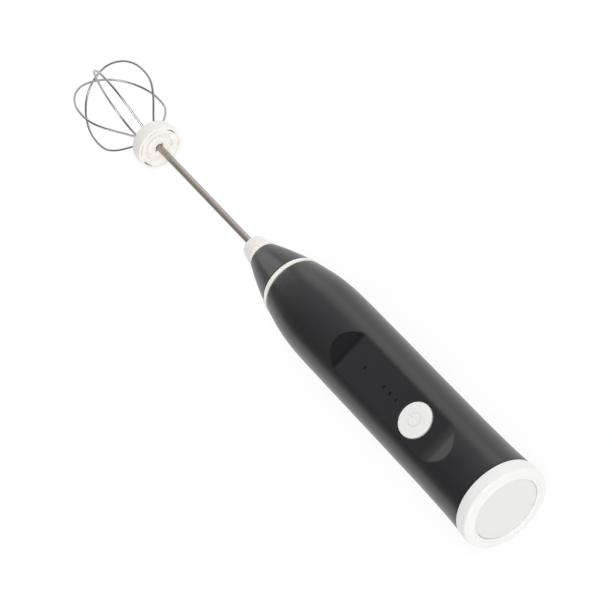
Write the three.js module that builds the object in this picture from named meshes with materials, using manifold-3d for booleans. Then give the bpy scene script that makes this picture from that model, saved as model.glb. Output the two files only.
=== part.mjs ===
// A rechargeable hand-held milk frother with a pull-out balloon whisk, in millimetres.
//
// The frother lies on its back: its long axis runs along Y, with the end cap at -Y and the
// whisk at +Y, and the panel with the button faces +Z. Inside this file every station along
// the axis is measured from the end cap's rim (y = 0) and every height from the axis (z = 0);
// one group at the end moves the whole frother so that its origin is at the middle of its base.

import * as THREE from 'three';
import { mergeVertices } from 'three/addons/utils/BufferGeometryUtils.js';
import Module from 'manifold-3d';

// ---- Driving dimensions -------------------------------------------------------------------

const GAP = 0.25; // clearance between fixed neighbours
const WALL = 2.0; // moulded wall of the handle

// stations along the handle
const CAP_END = 5.5; // end cap meets the black housing
const HOUSING_END = 127.55; // housing meets the trim ring
const RING_END = 129.85; // trim ring meets the nose cone
const CONE_END = 148.2; // nose cone meets the nose cap
const NOSE_END = 156.9; // front of the nose cap

// radii of the handle
const CAP_RADIUS = 16.1;
const BARREL_RADIUS = 15.1;
const BORE_RADIUS = BARREL_RADIUS - WALL;
const RING_RADIUS = 12.45;
const CONE_BACK_RADIUS = 11.8;
const CONE_FRONT_RADIUS = 6.1;
const END_DISC_RADIUS = 11.9;

// panel recess, button and indicator lights
const PANEL_HEIGHT = 13.0; // height of the recess floor above the axis
const PANEL_START = 27.9;
const PANEL_STOP = 81.3;
const RECESS_START = 21.1;
const RECESS_STOP = 86.9;
const CEILING_HEIGHT = 11.48; // inner face of the wall under the recess
const BUTTON_STATION = 41.1;
const BUTTON_RADIUS = 6.35;
const BUTTON_TOP = 13.5;
const LIGHT_STATIONS = [71.1, 59.8, 56.1, 52.4];
const LIGHT_HOLE_RADIUS = 0.62;
const LIGHT_RADIUS = 0.4;

// circuit board and switch
const BOARD = { width: 17.2, start: 24, stop: 84, bottom: 7.0, top: 8.0 };
const SWITCH = { side: 5.2, bottom: 8.1, top: 9.1, hole: 1.3 };
const PLUNGER = { radius: 1.0, low: 8.8, top: 9.5 };

// battery
const CELL_RADIUS = 9.15;
const CELL_HEIGHT = -2.4; // the cell's axis lies this far below the handle's axis
const CELL_START = 21.3;
const CELL_STOP = 85.7;

// charging port, on the underside of the handle
const PORT_STATION = 15.5;
const PORT = { width: 8.9, depth: 3.2, wall: 0.4, low: -13.6, high: -6.8 };

// motor
const MOTOR_RADIUS = 10.1;
const MOTOR_START = 90.0;
const CAN_START = 92.2;
const MOTOR_STOP = 116.0;
const SHAFT_RADIUS = 1.0;

// drive socket and its bush
const SOCKET_RADIUS = 2.4;
const SOCKET_START = 118.8;
const SOCKET_STOP = 142.0;
const BUSH_RADIUS = 4.35;

// whisk
const ROD_RADIUS = 1.3;
const ROD_START = 127.0;
const ROD_STOP = 229.8;
const HUB_START = 225.1;
const HUB_STOP = 231.6;
const HUB_RADIUS = 9.2;
const WIRE_RADIUS = 0.43;
const WIRE_PITCH = 2.5; // radius of the ring of wire holes in the hub
const LOOP_COUNT = 3;
const LOOP_FIRST_ANGLE = 13; // degrees from +X towards +Z
const LOOP_RADIUS = 17.0;
const LOOP_WIDEST = 257.0; // station where the loops are widest
const LOOP_TIPS = [278.0, 273.4, 276.8]; // centre line of each loop where it crosses the axis

const OVERALL = LOOP_TIPS[0] + WIRE_RADIUS;
const AXIS_HEIGHT = LOOP_RADIUS * Math.sin(THREE.MathUtils.degToRad(LOOP_FIRST_ANGLE + 60)) + WIRE_RADIUS;

// smoothness
const ROUND = 32; // sides of the large turned parts
const SMALL_ROUND = 16; // sides of the small turned parts
const FINE = 0.004; // edges and slivers smaller than this are merged away

// ---- Finishes -----------------------------------------------------------------------------

const FINISHES = {
  blackGloss: { color: 0x1d1e21, roughness: 0.32, metalness: 0 },
  whiteGloss: { color: 0xf3f2ee, roughness: 0.3, metalness: 0 },
  whiteSatin: { color: 0xe9eae6, roughness: 0.5, metalness: 0 },
  smokedLens: { color: 0x0b0b0d, roughness: 0.15, metalness: 0 },
  steel: { color: 0x8f8a84, roughness: 0.28, metalness: 1 },
  chrome: { color: 0xc9cacc, roughness: 0.12, metalness: 1 },
  brass: { color: 0xb08d48, roughness: 0.35, metalness: 1 },
  nickel: { color: 0xb9b6ad, roughness: 0.35, metalness: 1 },
  framePlastic: { color: 0x55585c, roughness: 0.6, metalness: 0 },
  board: { color: 0x14532d, roughness: 0.5, metalness: 0 },
  chip: { color: 0x17181a, roughness: 0.5, metalness: 0 },
  cellWrap: { color: 0x2a6f9e, roughness: 0.4, metalness: 0 },
  magnet: { color: 0x3a3a3c, roughness: 0.7, metalness: 0 },
  copper: { color: 0xa85c32, roughness: 0.4, metalness: 1 },
  rubber: { color: 0x303234, roughness: 0.8, metalness: 0 },
  redLead: { color: 0xa01818, roughness: 0.5, metalness: 0 },
  blackLead: { color: 0x141414, roughness: 0.5, metalness: 0 },
};

// ---- Solid tools --------------------------------------------------------------------------

const wasm = await Module();
wasm.setup();

const frother = new THREE.Group();
frother.position.set(0, -OVERALL / 2, AXIS_HEIGHT);

// Six times the volume inside a closed triangle list; negative when its faces point inward.
function signedVolume(positions, triangles) {
  const [a, b, c] = [new THREE.Vector3(), new THREE.Vector3(), new THREE.Vector3()];
  let volume = 0;
  for (let i = 0; i < triangles.length; i += 3) {
    a.fromBufferAttribute(positions, triangles[i]);
    b.fromBufferAttribute(positions, triangles[i + 1]);
    c.fromBufferAttribute(positions, triangles[i + 2]);
    volume += a.dot(b.cross(c));
  }
  return volume;
}

// Welds a closed geometry, drops its collapsed triangles and returns it as a solid.
function solid(geometry) {
  const bare = geometry.index ? geometry.toNonIndexed() : geometry.clone();
  bare.deleteAttribute('normal');
  bare.deleteAttribute('uv');
  const welded = mergeVertices(bare, 1e-4);
  const corners = welded.index.array;
  const triangles = [];
  for (let i = 0; i < corners.length; i += 3) {
    const [a, b, c] = corners.slice(i, i + 3);
    if (a !== b && b !== c && c !== a) {
      triangles.push(a, b, c);
    }
  }
  if (signedVolume(welded.attributes.position, triangles) < 0) {
    triangles.reverse();
  }
  return new wasm.Manifold(new wasm.Mesh({
    numProp: 3,
    vertProperties: new Float32Array(welded.attributes.position.array),
    triVerts: new Uint32Array(triangles),
  }));
}

// Adds a solid to the frother as one named mesh with its own finish.
function addPiece(name, body, finish) {
  const { vertProperties, triVerts } = body.simplify(FINE).getMesh();
  const geometry = new THREE.BufferGeometry();
  geometry.setAttribute('position', new THREE.BufferAttribute(vertProperties, 3));
  geometry.setIndex(new THREE.BufferAttribute(triVerts, 1));
  geometry.computeVertexNormals();
  const mesh = new THREE.Mesh(geometry, new THREE.MeshStandardMaterial(FINISHES[finish]));
  mesh.name = name;
  frother.add(mesh);
}

// A solid turned about the Y axis from [radius, station] points.
function turned(points, sides = ROUND) {
  return solid(new THREE.LatheGeometry(points.map(([r, y]) => new THREE.Vector2(r, y)), sides));
}

// A plain turned disc or rod along Y.
function rod(radius, start, stop, sides = SMALL_ROUND) {
  return turned([[0, start], [radius, start], [radius, stop], [0, stop]], sides);
}

// A plain turned ring along Y.
function ring(inner, outer, start, stop, sides = SMALL_ROUND) {
  return turned([[inner, start], [outer, start], [outer, stop], [inner, stop], [inner, start]], sides);
}

// A solid turned about a vertical line through (x, y) from [radius, height] points.
function turnedUpright(points, x, y, sides = SMALL_ROUND) {
  const geometry = new THREE.LatheGeometry(points.map(([r, z]) => new THREE.Vector2(r, z)), sides);
  geometry.rotateX(Math.PI / 2);
  return solid(geometry.translate(x, y, 0));
}

// A plain upright pin.
function pin(radius, low, high, x, y, sides = SMALL_ROUND) {
  return turnedUpright([[0, low], [radius, low], [radius, high], [0, high]], x, y, sides);
}

// A box between two corners.
function block([x0, y0, z0], [x1, y1, z1]) {
  const geometry = new THREE.BoxGeometry(x1 - x0, y1 - y0, z1 - z0);
  return solid(geometry.translate((x0 + x1) / 2, (y0 + y1) / 2, (z0 + z1) / 2));
}

// A round wire along a curve.
function wire(curve, radius, steps, sides = 8) {
  const section = new THREE.Shape();
  section.absarc(0, 0, radius, 0, 2 * Math.PI);
  return solid(new THREE.ExtrudeGeometry(section, {
    steps,
    curveSegments: sides / 2, // an arc is drawn with two sides for each segment
    bevelEnabled: false,
    extrudePath: curve,
  }));
}

function join(...bodies) {
  return bodies.reduce((whole, body) => whole.add(body));
}

function cut(body, ...tools) {
  return tools.reduce((rest, tool) => rest.subtract(tool), body);
}

// Both signs, for what is mirrored across the middle plane, and the names they give.
const SIDES = [-1, 1];
const sideName = (side) => (side < 0 ? 'left' : 'right');

// ---- Handle shells ------------------------------------------------------------------------

// The barrel keeps one diameter, flares slightly to the cap and rounds off into the nose.
const BARREL_OUTLINE = [
  [15.8, CAP_END + GAP / 2],
  [15.35, 15],
  [BARREL_RADIUS, 32],
  [15.2, 98],
  [15.05, 107],
  [14.7, 112.7],
  [14.05, 118.0],
  [13.1, 123.4],
  [12.2, HOUSING_END],
];

const BARREL_BORE = [
  [9.9, HOUSING_END],
  [10.8, 124],
  [12.0, 118.3],
  [12.7, 112.7],
  [BORE_RADIUS, 106],
  [BORE_RADIUS, 12.2],
  [BORE_RADIUS + 0.3, 12.2],
  [BORE_RADIUS + 0.3, CAP_END + GAP / 2],
];

// The panel recess is one wedge-ended cut straight across the barrel.
function recessCutter() {
  const rise = (BARREL_RADIUS - PANEL_HEIGHT) * 2;
  const side = new THREE.Shape();
  side.moveTo(PANEL_START, PANEL_HEIGHT);
  side.lineTo(PANEL_STOP, PANEL_HEIGHT);
  side.lineTo(PANEL_STOP + (RECESS_STOP - PANEL_STOP) * 2, PANEL_HEIGHT + rise);
  side.lineTo(PANEL_START - (PANEL_START - RECESS_START) * 2, PANEL_HEIGHT + rise);
  side.closePath();
  const cutter = new THREE.ExtrudeGeometry(side, { depth: 4 * BARREL_RADIUS, bevelEnabled: false });
  // The shape's plane becomes the YZ plane and its depth runs along X.
  const toSide = new THREE.Matrix4().makeBasis(
    new THREE.Vector3(0, 1, 0),
    new THREE.Vector3(0, 0, 1),
    new THREE.Vector3(1, 0, 0),
  );
  cutter.translate(0, 0, -2 * BARREL_RADIUS);
  return solid(cutter.applyMatrix4(toSide));
}

// A slot with round ends, long side across, cut through the underside for the charging plug.
function roundedSlot(width, depth, low, high) {
  const radius = depth / 2;
  const reach = width / 2 - radius;
  return join(
    block([-reach, PORT_STATION - radius, low], [reach, PORT_STATION + radius, high]),
    pin(radius, low, high, -reach, PORT_STATION),
    pin(radius, low, high, reach, PORT_STATION),
  );
}

// Bosses inside the barrel that take the two screws of the inner frame.
const BOSS = { x: 10.1, z: 5.2, radius: 1.95, start: 20.1, stop: 30, bore: 0.9, depth: 8.5 };

function bossAt(side) {
  return rod(BOSS.radius, BOSS.start, BOSS.stop).translate([side * BOSS.x, 0, BOSS.z]);
}

function bossBoreAt(side) {
  return rod(BOSS.bore, BOSS.start - 1, BOSS.start + BOSS.depth).translate([side * BOSS.x, 0, BOSS.z]);
}

function mainHousing() {
  const outside = turned([[0, CAP_END + GAP / 2], ...BARREL_OUTLINE, [0, HOUSING_END]]);
  const bore = turned([[0, HOUSING_END], ...BARREL_BORE, [0, CAP_END + GAP / 2]]);
  const ceiling = block([-20, 18, CEILING_HEIGHT], [20, 91, 20]);
  let shell = cut(outside, bore.subtract(ceiling), recessCutter());
  shell = join(shell, ...SIDES.map((side) => bossAt(side).intersect(outside)));
  shell = cut(shell, ...SIDES.map(bossBoreAt));
  const buttonHole = pin(BUTTON_RADIUS + 0.3, CEILING_HEIGHT - 1, 16, 0, BUTTON_STATION, 32);
  const lightHoles = LIGHT_STATIONS.map((y) => pin(LIGHT_HOLE_RADIUS, CEILING_HEIGHT - 1, 16, 0, y, 16));
  const portSlot = roundedSlot(PORT.width + 0.5, PORT.depth + 0.5, -18, -11);
  addPiece('main_housing', cut(shell, buttonHole, ...lightHoles, portSlot), 'blackGloss');
}

function trimRing() {
  const outline = [
    [9.75, HOUSING_END + GAP],
    [12.25, HOUSING_END + GAP],
    [RING_RADIUS, HOUSING_END + 0.7],
    [12.3, RING_END - 0.7],
    [11.95, RING_END],
    [9.75, RING_END],
    [9.75, HOUSING_END + GAP],
  ];
  addPiece('trim_ring', turned(outline), 'whiteGloss');
}

const CONE_START = RING_END + GAP;
const NOSE_BORE = BUSH_RADIUS + 0.2;

function noseCone() {
  const shell = turned([
    [0, 122.6],
    [9.4, 122.6],
    [9.5, 123.6],
    [9.5, CONE_START],
    [CONE_BACK_RADIUS, CONE_START],
    [9.95, 136.6],
    [8.1, 142.6],
    [CONE_FRONT_RADIUS, CONE_END],
    [0, CONE_END],
  ]);
  const cavity = turned([
    [0, 121],
    [8.0, 121],
    [8.0, 128],
    [6.4, 132],
    [3.4, 134.5],
    [3.4, 136.2],
    [NOSE_BORE, 136.2],
    [NOSE_BORE, CONE_END + 1],
    [0, CONE_END + 1],
  ]);
  addPiece('nose_cone', shell.subtract(cavity), 'blackGloss');
}

function noseCap() {
  const start = CONE_END + GAP;
  const outline = [
    [3.1, 143.2],
    [BUSH_RADIUS, 143.2],
    [BUSH_RADIUS, start],
    [6.0, start],
    [5.95, start + 0.9],
    [5.65, start + 1.05],
    [5.6, start + 1.6],
    [5.05, 153.2],
    [4.7, 155.3],
    [4.3, 156.3],
    [3.7, 156.75],
    [3.0, NOSE_END],
    [1.75, NOSE_END],
    [1.75, start],
    [3.1, start],
    [3.1, 143.2],
  ];
  addPiece('nose_cap', turned(outline, 28), 'whiteGloss');
}

function endCap() {
  const rimInner = END_DISC_RADIUS + GAP;
  const outline = [
    [0, 2.1],
    [rimInner, 2.1],
    [rimInner, 0.15],
    [12.3, 0],
    [12.8, 0],
    [13.05, 0.4],
    [15.2, 0.45],
    [15.75, 0.65],
    [16.0, 1.1],
    [CAP_RADIUS, 2.0],
    [CAP_RADIUS, 3.6],
    [16.0, CAP_END - GAP / 2],
    [BORE_RADIUS, CAP_END - GAP / 2],
    [BORE_RADIUS, 11.6],
    [11.4, 11.6],
    [11.4, 4.6],
    [0, 4.6],
  ];
  addPiece('end_cap', turned(outline), 'whiteGloss');
}

function endDisc() {
  const outline = [
    [0, 0.55],
    [11.5, 0.55],
    [END_DISC_RADIUS, 0.75],
    [END_DISC_RADIUS, 1.85],
    [0, 1.85],
  ];
  addPiece('end_disc', turned(outline), 'whiteSatin');
}

// ---- Button, switch and lights ------------------------------------------------------------

function powerButton() {
  const outline = [
    [0, 9.75],
    [7.3, 9.75],
    [7.3, 10.35],
    [BUTTON_RADIUS, 10.35],
    [BUTTON_RADIUS, BUTTON_TOP - 0.3],
    [6.2, BUTTON_TOP - 0.1],
    [5.8, BUTTON_TOP],
    [0, BUTTON_TOP + 0.1],
  ];
  addPiece('power_button', turnedUpright(outline, 0, BUTTON_STATION, 32), 'whiteGloss');
}

function tactSwitch() {
  const half = SWITCH.side / 2;
  const body = block(
    [-half, BUTTON_STATION - half, SWITCH.bottom],
    [half, BUTTON_STATION + half, SWITCH.top],
  );
  const well = pin(SWITCH.hole, SWITCH.bottom + 0.15, SWITCH.top + 1, 0, BUTTON_STATION);
  const plunger = pin(PLUNGER.radius, PLUNGER.low, PLUNGER.top, 0, BUTTON_STATION);
  addPiece('switch_body', body.subtract(well), 'nickel');
  addPiece('switch_plunger', plunger, 'chip');
}

function indicatorLights() {
  LIGHT_STATIONS.forEach((y, index) => {
    const outline = [
      [0, 9.4],
      [LIGHT_RADIUS, 9.4],
      [LIGHT_RADIUS, 10.6],
      [1.0, 10.6],
      [1.0, 11.2],
      [LIGHT_RADIUS, 11.2],
      [LIGHT_RADIUS, PANEL_HEIGHT - 0.25],
      [0, PANEL_HEIGHT - 0.1],
    ];
    addPiece(`light_guide_${index + 1}`, turnedUpright(outline, 0, y, 16), 'smokedLens');
    addPiece(`led_chip_${index + 1}`, block([-0.8, y - 0.5, 8.2], [0.8, y + 0.5, 8.9]), 'whiteSatin');
  });
}

// ---- Electronics --------------------------------------------------------------------------

function circuitBoard() {
  const half = BOARD.width / 2;
  const board = block([-half, BOARD.start, BOARD.bottom], [half, BOARD.stop, BOARD.top]);
  addPiece('circuit_board', board, 'board');
  addPiece('controller_chip', block([-2.5, 28.4, 8.2], [2.5, 32.4, 9.1]), 'chip');
  addPiece('charge_coil', pin(2.3, 8.2, 10.2, 5.2, 66), 'chip');
}

function chargePort() {
  const { width, depth, wall, low, high } = PORT;
  const shell = roundedSlot(width, depth, low, high);
  const mouth = roundedSlot(width - 2 * wall, depth - 2 * wall, low - 1, high - 1.2);
  const tongue = block([-3.3, PORT_STATION - 0.35, low + 0.8], [3.3, PORT_STATION + 0.35, high - 1]);
  addPiece('charge_port', join(shell.subtract(mouth), tongue), 'steel');
  addPiece('charge_board', block([-5.6, 12.4, high + GAP], [5.6, 18.3, high + 1.25]), 'board');
}

function batteryCell() {
  const outline = [
    [0, CELL_START],
    [8.4, CELL_START],
    [CELL_RADIUS, CELL_START + 0.5],
    [CELL_RADIUS, CELL_STOP - 2.6],
    [8.75, CELL_STOP - 2.0],
    [CELL_RADIUS, CELL_STOP - 1.4],
    [8.7, CELL_STOP - 0.6],
    [2.9, CELL_STOP - 0.6],
    [2.9, CELL_STOP],
    [0, CELL_STOP],
  ];
  addPiece('battery_cell', turned(outline, 28).translate([0, 0, CELL_HEIGHT]), 'cellWrap');
  const tabs = [['negative', CELL_START - 0.35], ['positive', CELL_STOP + 0.15]];
  for (const [pole, y] of tabs) {
    const tab = block([-3, y, CELL_HEIGHT - 3], [3, y + 0.2, CELL_HEIGHT + 4]);
    addPiece(`battery_tab_${pole}`, tab, 'nickel');
  }
}

// Insulated leads, each held all the way from its tab or terminal to the board.
function leads() {
  const boardLevel = BOARD.top + 0.75;
  const runs = [
    ['battery_lead_positive', 'redLead', 1.6, CELL_STOP + 0.9, 2.2, 80],
    ['battery_lead_negative', 'blackLead', -1.6, CELL_START - 0.95, 2.2, 26.6],
    ['motor_lead_positive', 'redLead', 6.0, 89.15, 1.4, 81],
    ['motor_lead_negative', 'blackLead', -6.0, 89.15, 1.4, 81],
    ['charge_lead_positive', 'redLead', 4.2, 15.6, PORT.high + 1.6, 26.6],
    ['charge_lead_negative', 'blackLead', -4.2, 15.6, PORT.high + 1.6, 26.6],
  ];
  for (const [name, finish, x, y, foot, reach] of runs) {
    const turn = 1.4 * Math.sign(reach - y);
    const path = new THREE.CurvePath();
    const corner = new THREE.Vector3(x, y, boardLevel);
    const low = new THREE.Vector3(x, y, foot);
    const before = new THREE.Vector3(x, y, boardLevel - 1.4);
    const after = new THREE.Vector3(x, y + turn, boardLevel);
    const end = new THREE.Vector3(x, reach, boardLevel);
    path.add(new THREE.LineCurve3(low, before));
    path.add(new THREE.QuadraticBezierCurve3(before, corner, after));
    path.add(new THREE.LineCurve3(after, end));
    addPiece(name, wire(path, 0.45, 12), finish);
  }
}

// ---- Inner frame --------------------------------------------------------------------------

const MOUNT_SCREW = { x: 6.6, radius: 0.8 };

// The frame is a trough under the cell and motor, with walls, ribs and two rails for the board.
const FRAME = { radius: 12.75, inner: 11.7, wallRadius: 12.5, top: 6.7, plateRadius: 11.2 };

function innerFrame() {
  const { radius, inner, wallRadius, top, plateRadius } = FRAME;
  const plate = { start: MOTOR_STOP + 0.3, stop: MOTOR_STOP + 2.1 };
  const lowerSpace = block([-20, 0, -20], [20, 140, -7]);
  const belowTop = block([-20, 0, -20], [20, 140, top]);
  const trough = turned([
    [inner, 18.6],
    [radius, 18.6],
    [radius, 104],
    [plateRadius, plate.start],
    [plateRadius, plate.stop - 0.3],
    [10.4, plate.stop - 0.3],
    [10.4, plate.start],
    [inner, 104],
    [inner, 18.6],
  ]).intersect(lowerSpace);
  const walls = [[18.7, 19.75], [87.3, 88.3]].map(([start, stop]) => rod(wallRadius, start, stop, ROUND));
  const ribs = [[31, 32.4], [58, 59.4]].map(([start, stop]) => (
    ring(inner + 0.1, wallRadius, start, stop, ROUND)
  ));
  const bulkheads = join(...walls, ...ribs).intersect(belowTop);
  const motorPlate = rod(plateRadius - 0.15, plate.start + 0.1, plate.stop, ROUND);
  const rails = SIDES.map((side) => (
    block([side * 9.1 - 1.5, 31.4, 5.9], [side * 9.1 + 1.5, 87.8, 6.5])
  ));
  const shelves = SIDES.map((side) => (
    block([side * 6.2 - 1.2, 12.6, PORT.high - 1.3], [side * 6.2 + 1.2, 19.2, PORT.high])
  ));
  const shaftHole = rod(3.4, 115, 120);
  const motorScrewHoles = SIDES.map((side) => rod(1.1, 115, 120).translate([side * MOUNT_SCREW.x, 0, 0]));
  const frameScrewHoles = SIDES.map((side) => rod(1.0, 17, 21).translate([side * BOSS.x, 0, BOSS.z]));
  addPiece('inner_frame', cut(
    join(trough, bulkheads, motorPlate, ...rails, ...shelves),
    shaftHole,
    ...motorScrewHoles,
    ...frameScrewHoles,
  ), 'framePlastic');
}

// A pan-head screw along Y with its head towards `direction`.
function screw(shankRadius, headRadius, seat, length, direction) {
  const tip = seat - direction * length;
  const [start, stop] = [Math.min(seat, tip), Math.max(seat, tip)];
  const head = direction > 0
    ? rod(headRadius, seat, seat + 1.0)
    : rod(headRadius, seat - 1.0, seat);
  return join(rod(shankRadius, start, stop), head);
}

function screws() {
  for (const side of SIDES) {
    const frameScrew = screw(0.65, 1.4, 18.3, 9.5, -1).translate([side * BOSS.x, 0, BOSS.z]);
    const motorScrew = screw(MOUNT_SCREW.radius, 1.6, 118.4, 4.2, 1).translate([side * MOUNT_SCREW.x, 0, 0]);
    addPiece(`frame_screw_${sideName(side)}`, frameScrew, 'steel');
    addPiece(`motor_screw_${sideName(side)}`, motorScrew, 'steel');
  }
}

// ---- Motor --------------------------------------------------------------------------------

function motor() {
  const can = turned([
    [0, MOTOR_STOP],
    [MOTOR_RADIUS, MOTOR_STOP],
    [MOTOR_RADIUS, CAN_START],
    [9.3, CAN_START],
    [9.3, MOTOR_STOP - 1],
    [0, MOTOR_STOP - 1],
  ], 28);
  const screwHoles = SIDES.map((side) => rod(1.1, 113, 118).translate([side * MOUNT_SCREW.x, 0, 0]));
  addPiece('motor_can', cut(can, rod(2.7, 113, 118), ...screwHoles), 'steel');

  addPiece('motor_end_bell', join(
    ring(1.15, MOTOR_RADIUS, MOTOR_START, CAN_START - 0.2, 32),
    ring(8.0, 9.1, CAN_START - 0.2, CAN_START + 1.2, 32),
  ), 'framePlastic');

  const magnetRing = ring(7.6, 9.1, 95, 112.5, 32);
  for (const side of SIDES) {
    const half = block([side * 8 - 5.6, 94, -12], [side * 8 + 5.6, 114, 12]);
    addPiece(`motor_magnet_${sideName(side)}`, magnetRing.intersect(half), 'magnet');
  }

  const core = ring(1.2, 7.1, 97, 110, 30);
  const slots = [30, 150, 270].map((angle) => (
    block([3.4, 96, -0.8], [8, 111, 0.8]).rotate([0, -angle, 0])
  ));
  const windings = ring(1.2, 5.6, 95.6, 111.4, 30);
  const hollows = [30, 150, 270].map((angle) => (
    block([2.6, 90, -0.5], [8, 114, 0.5]).rotate([0, -angle, 0])
  ));
  addPiece('motor_armature', cut(join(core, windings), ...slots, ...hollows), 'copper');
  addPiece('commutator', ring(1.2, 2.6, 92.6, 95.3), 'brass');
  addPiece('motor_shaft', rod(SHAFT_RADIUS, 90.4, 124.4), 'steel');
  addPiece('motor_bushing', ring(1.1, 2.45, 113.4, 116.1), 'brass');

  for (const side of SIDES) {
    const terminal = block([side * 6 - 0.9, 88.7, -1.2], [side * 6 + 0.9, 89.7, 0.7]);
    addPiece(`motor_terminal_${sideName(side)}`, terminal, 'brass');
  }
}

// ---- Drive socket, bush and seal ----------------------------------------------------------

const FLAT_START = ROD_START;
const FLAT_STOP = 137.0;

function driveSocket() {
  const shaftBore = rod(SHAFT_RADIUS + 0.2, SOCKET_START - 1, 125);
  const roundBore = rod(ROD_RADIUS + 0.15, ROD_START - 0.5, SOCKET_STOP + 1);
  const keyed = block([-3, ROD_START - 1, 0.95], [3, FLAT_STOP - 0.9, 3]);
  const sleeve = turned([
    [0, SOCKET_START],
    [3.0, SOCKET_START],
    [3.0, 126],
    [SOCKET_RADIUS, 127.5],
    [SOCKET_RADIUS, SOCKET_STOP],
    [0, SOCKET_STOP],
  ], 32);
  addPiece('drive_socket', cut(sleeve, shaftBore, roundBore.subtract(keyed)), 'brass');
}

function noseBushAndSeal() {
  addPiece('nose_bush', ring(SOCKET_RADIUS + 0.1, BUSH_RADIUS, 136.45, 142.9, 32), 'brass');
  addPiece('nose_seal', ring(ROD_RADIUS + 0.2, 2.85, 145.4, 148.2), 'rubber');
}

// ---- Whisk --------------------------------------------------------------------------------

function whiskRod() {
  const shank = rod(ROD_RADIUS, ROD_START, ROD_STOP, 24);
  const flat = block([-3, FLAT_START - 1, 0.78], [3, FLAT_STOP - 0.6, 3]);
  addPiece('whisk_rod', shank.subtract(flat), 'steel');
}

// One leg-hole for each end of each loop, in a ring round the rod.
function wireHoles(radius, start, stop) {
  const holes = [];
  for (let leg = 0; leg < 2 * LOOP_COUNT; leg += 1) {
    const angle = THREE.MathUtils.degToRad(LOOP_FIRST_ANGLE + leg * (180 / LOOP_COUNT));
    const [x, z] = [WIRE_PITCH * Math.cos(angle), WIRE_PITCH * Math.sin(angle)];
    holes.push(rod(radius, start, stop, 12).translate([x, 0, z]));
  }
  return holes;
}

const INSERT_RADIUS = 7.9;

function hubCup() {
  const shell = turned([
    [8.15, HUB_START],
    [8.9, HUB_START],
    [HUB_RADIUS, HUB_START + 0.4],
    [9.15, 228],
    [8.85, 230.7],
    [8.5, 231.3],
    [7.9, HUB_STOP],
    [0, HUB_STOP],
    [0, 230.3],
    [8.15, 230.3],
    [8.15, HUB_START],
  ]);
  addPiece('hub_cup', cut(shell, ...wireHoles(0.62, 229, 233)), 'whiteGloss');
}

// A curved slot: part of a ring between two angles, open at the insert's front face.
function arcSlot(middle, span) {
  const slot = ring(7.35, INSERT_RADIUS + 1, HUB_START - 1, HUB_START + 3.2, 30).rotate([0, 4, 0]);
  const wedge = new THREE.Shape();
  const reach = 14;
  const half = THREE.MathUtils.degToRad(span / 2);
  wedge.moveTo(0, 0);
  wedge.lineTo(reach * Math.cos(half), -reach * Math.sin(half));
  wedge.lineTo(reach * Math.cos(half), reach * Math.sin(half));
  wedge.closePath();
  const prism = new THREE.ExtrudeGeometry(wedge, { depth: 12, bevelEnabled: false });
  prism.rotateX(Math.PI / 2);
  prism.translate(0, HUB_START + 6, 0);
  return slot.intersect(solid(prism).rotate([0, -middle, 0]));
}

function hubInsert() {
  const disc = turned([
    [0, 225.7],
    [4.1, 225.7],
    [4.3, 226.0],
    [4.5, 226.9],
    [5.4, 226.9],
    [5.75, 225.6],
    [INSERT_RADIUS, 225.4],
    [INSERT_RADIUS, 229.2],
    [0, 229.2],
  ]);
  const rodHole = rod(ROD_RADIUS + 0.2, 224, 231, 24);
  const notches = block([-2.1, 224, -0.55], [2.1, 227.2, 0.55]);
  const slots = [9, 69, 129, 189, 249, 309].map((angle) => arcSlot(angle, 30));
  addPiece('hub_insert', cut(disc, rodHole, notches, ...slots, ...wireHoles(0.62, 226.9, 230)), 'whiteGloss');
}

// The half outline of a loop: a straight leg in the hub, a flare, the belly and the tip.
const LEG_START = 227.3;
const LOOP_OUTLINE = [
  [WIRE_PITCH, LEG_START],
  [WIRE_PITCH, 229.6],
  [WIRE_PITCH, 231.9],
  [3.6, 233.8],
  [7.4, 238.2],
  [13.1, 244.6],
  [16.2, 250.2],
  [LOOP_RADIUS, LOOP_WIDEST],
  [15.95, 264.2],
  [12.3, 271.4],
  [6.7, 276.4],
];

function whiskLoops() {
  for (let loop = 0; loop < LOOP_COUNT; loop += 1) {
    const tip = LOOP_TIPS[loop];
    const squeeze = (tip - LOOP_WIDEST) / (LOOP_TIPS[0] - LOOP_WIDEST);
    const half = LOOP_OUTLINE.map(([r, y]) => (
      [r, y > LOOP_WIDEST ? LOOP_WIDEST + (y - LOOP_WIDEST) * squeeze : y]
    ));
    const mirrored = half.map(([r, y]) => [-r, y]).reverse();
    const points = [...half, [0, tip], ...mirrored].map(([r, y]) => new THREE.Vector3(r, y, 0));
    const curve = new THREE.CatmullRomCurve3(points, false, 'centripetal');
    const angle = LOOP_FIRST_ANGLE + loop * (180 / LOOP_COUNT);
    addPiece(`whisk_wire_${loop + 1}`, wire(curve, WIRE_RADIUS, 52).rotate([0, -angle, 0]), 'chrome');
  }
}

// ---- Assembly -----------------------------------------------------------------------------

mainHousing();
trimRing();
noseCone();
noseCap();
endCap();
endDisc();
powerButton();
tactSwitch();
indicatorLights();
circuitBoard();
chargePort();
batteryCell();
leads();
innerFrame();
screws();
motor();
driveSocket();
noseBushAndSeal();
whiskRod();
hubCup();
hubInsert();
whiskLoops();

export default frother;
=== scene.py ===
# %% [markdown]
# # A hand-held milk frother
#
# This lesson finishes a rechargeable milk frother: a black moulded handle with white caps, a
# steel rod, and a balloon whisk of three wire loops. The packed model comes first. It says where
# every piece sits and which body it moves with, so nothing here has to be fitted by eye.

# %% Load the packed frother
import math

import bmesh
import bpy
from mathutils import Matrix, Vector


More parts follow.
